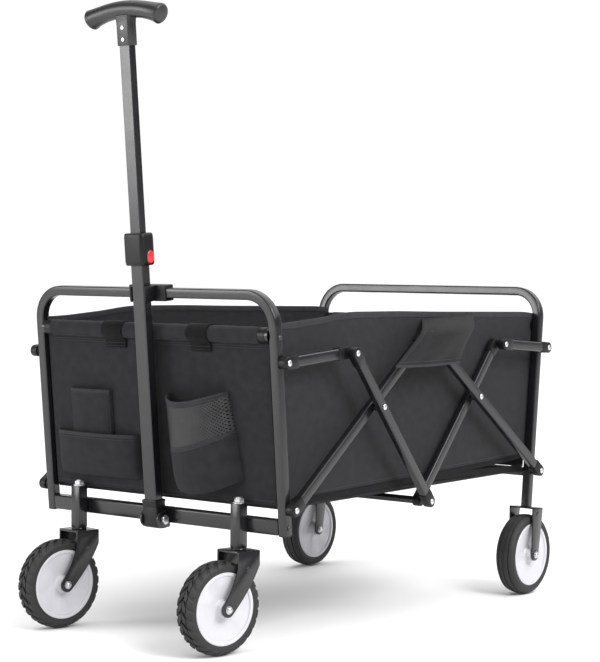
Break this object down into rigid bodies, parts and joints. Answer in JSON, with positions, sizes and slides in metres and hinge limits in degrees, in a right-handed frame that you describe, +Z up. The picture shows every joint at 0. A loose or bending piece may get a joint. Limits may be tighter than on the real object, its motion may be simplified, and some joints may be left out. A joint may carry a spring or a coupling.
{
  "type": "folding utility wagon",
  "caption": "Folding fabric utility wagon on a scissor-strut frame, with swivelling front casters, front pockets and a tilting, telescoping T-handle.",
  "frame": {"origin": "on the floor, under the middle of the whole open wagon's box", "axes": "+X towards the pull handle, +Y to the wagon's left, +Z up"},
  "size_m": [0.96, 0.6052, 1.0493],
  "materials": {
    "frame_paint": "satin black powder coat",
    "black_plastic": "fine grain moulded plastic",
    "grip_plastic": "soft satin",
    "red_plastic": "gloss",
    "rivet_steel": "zinc plated",
    "tyre_rubber": "moulded rubber",
    "wheel_white": "moulded, slightly glossy",
    "tub_fabric": "coarse woven polyester"
  },
  "bodies": {
    "front_frame": {"front_hoop": "frame_paint", "front_cross_bar": "frame_paint", "front_top_rail": "frame_paint", "front_panel": "tub_fabric", "phone_pocket": "tub_fabric", "bottle_pocket": "tub_fabric", "tub_floor": "tub_fabric", "side_panel_left": "tub_fabric", "side_panel_right": "tub_fabric", "handle_clevis": "frame_paint", "handle_holder": "black_plastic", "caster_tube_left": "frame_paint", "caster_tube_right": "frame_paint", "front_foot_rivets": "rivet_steel", "front_arm_rivets": "rivet_steel"},
    "long_struts_front": {"long_strut_front_left": "frame_paint", "long_strut_front_right": "frame_paint", "front_cross_rivets": "rivet_steel", "top_rivets": "rivet_steel"},
    "steep_struts_front": {"steep_strut_front_left": "frame_paint", "steep_strut_front_right": "frame_paint"},
    "long_struts_rear": {"long_strut_rear_left": "frame_paint", "long_strut_rear_right": "frame_paint", "rear_cross_rivets": "rivet_steel"},
    "steep_struts_rear": {"steep_strut_rear_left": "frame_paint", "steep_strut_rear_right": "frame_paint", "strut_spreader": "frame_paint"},
    "rear_frame": {"rear_hoop": "frame_paint", "rear_cross_bar": "frame_paint", "rear_top_rail": "frame_paint", "rear_panel": "tub_fabric", "rear_fork_left": "frame_paint", "rear_fork_right": "frame_paint", "rear_axle_left": "rivet_steel", "rear_axle_right": "rivet_steel", "rear_foot_rivets": "rivet_steel", "rear_arm_rivets": "rivet_steel"},
    "arms_front": {"arm_front_left": "frame_paint", "arm_front_right": "frame_paint"},
    "arms_rear": {"arm_rear_left": "frame_paint", "arm_rear_right": "frame_paint"},
    "caster_left": {"caster_fork_left": "frame_paint", "front_axle_left": "rivet_steel"},
    "front_wheel_left": {"front_rim_left": "wheel_white", "front_tyre_left": "tyre_rubber"},
    "rear_wheel_left": {"rear_rim_left": "wheel_white", "rear_tyre_left": "tyre_rubber"},
    "button_left": {"release_button_left": "red_plastic"},
    "caster_right": {"caster_fork_right": "frame_paint", "front_axle_right": "rivet_steel"},
    "front_wheel_right": {"front_rim_right": "wheel_white", "front_tyre_right": "tyre_rubber"},
    "rear_wheel_right": {"rear_rim_right": "wheel_white", "rear_tyre_right": "tyre_rubber"},
    "button_right": {"release_button_right": "red_plastic"},
    "handle_lower": {"handle_boot": "black_plastic", "handle_lower_tube": "frame_paint", "handle_collar": "black_plastic"},
    "handle_upper": {"handle_upper_tube": "frame_paint", "handle_grip": "grip_plastic"}
  },
  "joints": [
    {"name": "fold", "type": "hinge", "parent": "front_frame", "child": "long_struts_front", "pos_m": [0.34689, 0, 0.236], "axis": [0, 1, 0], "range_deg": [0, 44], "deforming": ["side_panel_left", "side_panel_right", "tub_floor"]},
    {"name": "steep_struts_front_pivot", "type": "hinge", "parent": "long_struts_front", "child": "steep_struts_front", "pos_m": [0.12597, 0, 0.38943], "axis": [0, 1, 0], "range_deg": [-73.5, 0]},
    {"name": "long_struts_top_pivot", "type": "hinge", "parent": "long_struts_front", "child": "long_struts_rear", "pos_m": [-0.03611, 0, 0.502], "axis": [0, 1, 0], "range_deg": [-83.5, 0]},
    {"name": "steep_struts_rear_pivot", "type": "hinge", "parent": "long_struts_rear", "child": "steep_struts_rear", "pos_m": [-0.19819, 0, 0.38943], "axis": [0, 1, 0], "range_deg": [0, 73.5]},
    {"name": "rear_frame_foot_pivot", "type": "hinge", "parent": "long_struts_rear", "child": "rear_frame", "pos_m": [-0.41911, 0, 0.236], "axis": [0, 1, 0], "range_deg": [0, 44.1]},
    {"name": "arms_front_pivot", "type": "hinge", "parent": "front_frame", "child": "arms_front", "pos_m": [0.3691, 0, 0.47095], "axis": [0, 1, 0], "range_deg": [0, 69.5]},
    {"name": "arms_rear_pivot", "type": "hinge", "parent": "rear_frame", "child": "arms_rear", "pos_m": [-0.44132, 0, 0.47095], "axis": [0, 1, 0], "range_deg": [-69.5, 0]},
    {"name": "caster_swivel_left", "type": "hinge", "parent": "front_frame", "child": "caster_left", "pos_m": [0.36346, 0.1778, 0.166], "axis": [0, 0, 1], "continuous": true},
    {"name": "front_wheel_spin_left", "type": "hinge", "parent": "caster_left", "child": "front_wheel_left", "pos_m": [0.40456, 0.17018, 0.076], "axis": [0.1822, 0.9833, 0], "continuous": true},
    {"name": "rear_wheel_spin_left", "type": "hinge", "parent": "rear_frame", "child": "rear_wheel_left", "pos_m": [-0.40398, 0.257, 0.076], "axis": [0, 1, 0], "continuous": true},
    {"name": "caster_swivel_right", "type": "hinge", "parent": "front_frame", "child": "caster_right", "pos_m": [0.36346, -0.1778, 0.166], "axis": [0, 0, 1], "continuous": true},
    {"name": "front_wheel_spin_right", "type": "hinge", "parent": "caster_right", "child": "front_wheel_right", "pos_m": [0.40456, -0.18542, 0.076], "axis": [0.1822, 0.9833, 0], "continuous": true},
    {"name": "rear_wheel_spin_right", "type": "hinge", "parent": "rear_frame", "child": "rear_wheel_right", "pos_m": [-0.40398, -0.257, 0.076], "axis": [0, 1, 0], "continuous": true},
    {"name": "handle_tilt", "type": "hinge", "parent": "front_frame", "child": "handle_lower", "pos_m": [0.3676, 0, 0.2], "axis": [0, 1, 0], "range_deg": [0, 80]},
    {"name": "handle_slide", "type": "slide", "parent": "handle_lower", "child": "handle_upper", "axis": [0.0941, 0, 0.9956], "range_m": [-0.3, 0]},
    {"name": "button_press_left", "type": "slide", "parent": "handle_lower", "child": "button_left", "axis": [0, -1, 0], "range_m": [0, 0.003], "stiffness_N_per_m": 800},
    {"name": "button_press_right", "type": "slide", "parent": "handle_lower", "child": "button_right", "axis": [0, 1, 0], "range_m": [0, 0.003], "stiffness_N_per_m": 800}
  ],
  "couplings": [
    {"joint": "steep_struts_front_pivot", "follows": "fold", "ratio": -1.6652},
    {"joint": "long_struts_top_pivot", "follows": "fold", "ratio": -1.8947},
    {"joint": "steep_struts_rear_pivot", "follows": "fold", "ratio": 1.6652},
    {"joint": "rear_frame_foot_pivot", "follows": "fold", "ratio": 1},
    {"joint": "arms_front_pivot", "follows": "fold", "ratio": 1.5769},
    {"joint": "arms_rear_pivot", "follows": "fold", "ratio": -1.5769}
  ]
}
